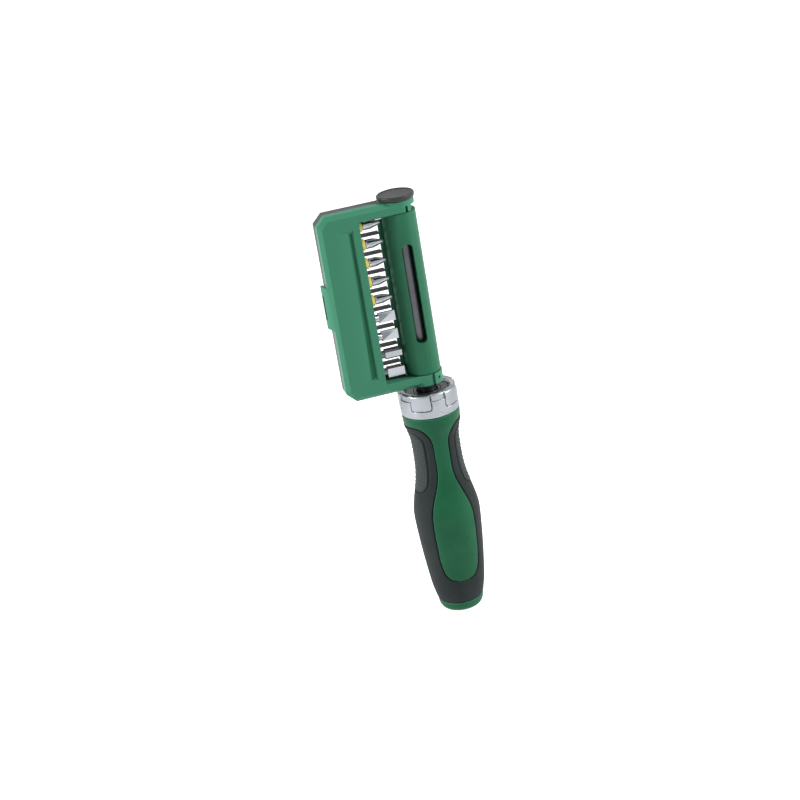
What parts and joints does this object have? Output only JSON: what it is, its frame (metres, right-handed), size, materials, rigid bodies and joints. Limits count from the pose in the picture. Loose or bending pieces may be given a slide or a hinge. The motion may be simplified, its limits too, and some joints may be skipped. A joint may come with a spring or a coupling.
{
  "type": "multi-bit ratchet screwdriver",
  "caption": "Ratchet screwdriver with a shaped two-material handle, a turning selector ring and a hinged bit case that slides on the shaft.",
  "frame": {"origin": "centre of the flat butt face, on the tool axis", "axes": "+Z along the tool axis from butt to cap; -Y is the front of the case; the case reaches out to -X"},
  "size_m": [0.058, 0.0318, 0.2142],
  "materials": {
    "green_plastic": "satin moulded green",
    "grip_rubber": "matt soft overmould",
    "dark_plastic": "fine matt",
    "black_plastic": "satin black",
    "satin_steel": "satin plated",
    "polished_steel": "polished",
    "dark_steel": "dark oiled",
    "yellow_plastic": "satin yellow"
  },
  "bodies": {
    "handle": {"butt_cap": "green_plastic", "handle_core": "green_plastic", "grip_overmould": "grip_rubber", "ratchet_housing": "dark_steel", "bearing_bush": "dark_steel", "retaining_clip": "dark_steel", "pawl_pin_left": "polished_steel", "pawl_pin_right": "polished_steel"},
    "selector": {"selector_ring": "satin_steel"},
    "pawl_left": {"pawl_left": "dark_steel"},
    "pawl_right": {"pawl_right": "dark_steel"},
    "shaft": {"shaft": "polished_steel", "ratchet_gear": "dark_steel", "bit_magnet": "dark_steel"},
    "case": {"hinge_tube": "green_plastic", "tube_cap": "black_plastic", "case_rear_shell": "dark_plastic", "bit_rail": "dark_plastic", "bit_1": "polished_steel", "bit_2": "polished_steel", "bit_3": "polished_steel", "bit_4": "polished_steel", "bit_5": "polished_steel", "bit_6": "polished_steel", "bit_7": "polished_steel", "bit_8": "polished_steel", "bit_9": "polished_steel", "bit_sleeve_1": "yellow_plastic", "bit_sleeve_2": "yellow_plastic", "bit_sleeve_3": "yellow_plastic", "bit_sleeve_4": "yellow_plastic", "bit_sleeve_5": "yellow_plastic"},
    "cover": {"case_cover": "green_plastic"}
  },
  "joints": [
    {"name": "shaft_spin", "type": "hinge", "parent": "handle", "child": "shaft", "pos_m": [0, 0, 0.11], "axis": [0, 0, 1], "continuous": true},
    {"name": "selector_turn", "type": "hinge", "parent": "handle", "child": "selector", "pos_m": [0, 0, 0.11], "axis": [0, 0, 1], "range_deg": [-25, 25]},
    {"name": "pawl_right_rock", "type": "hinge", "parent": "handle", "child": "pawl_right", "pos_m": [0.00731, 0.00372, 0.1095], "axis": [0, 0, 1], "range_deg": [0, 9], "stiffness_Nm_per_rad": 0.005},
    {"name": "pawl_left_rock", "type": "hinge", "parent": "handle", "child": "pawl_left", "pos_m": [-0.00731, 0.00372, 0.1095], "axis": [0, 0, -1], "range_deg": [0, 9], "stiffness_Nm_per_rad": 0.005},
    {"name": "case_slide", "type": "slide", "parent": "shaft", "child": "case", "axis": [0, 0, 1], "range_m": [0, 0.1]},
    {"name": "cover_open", "type": "hinge", "parent": "case", "child": "cover", "pos_m": [0, 0, 0.166], "axis": [0, 0, 1], "range_deg": [0, 110]}
  ]
}
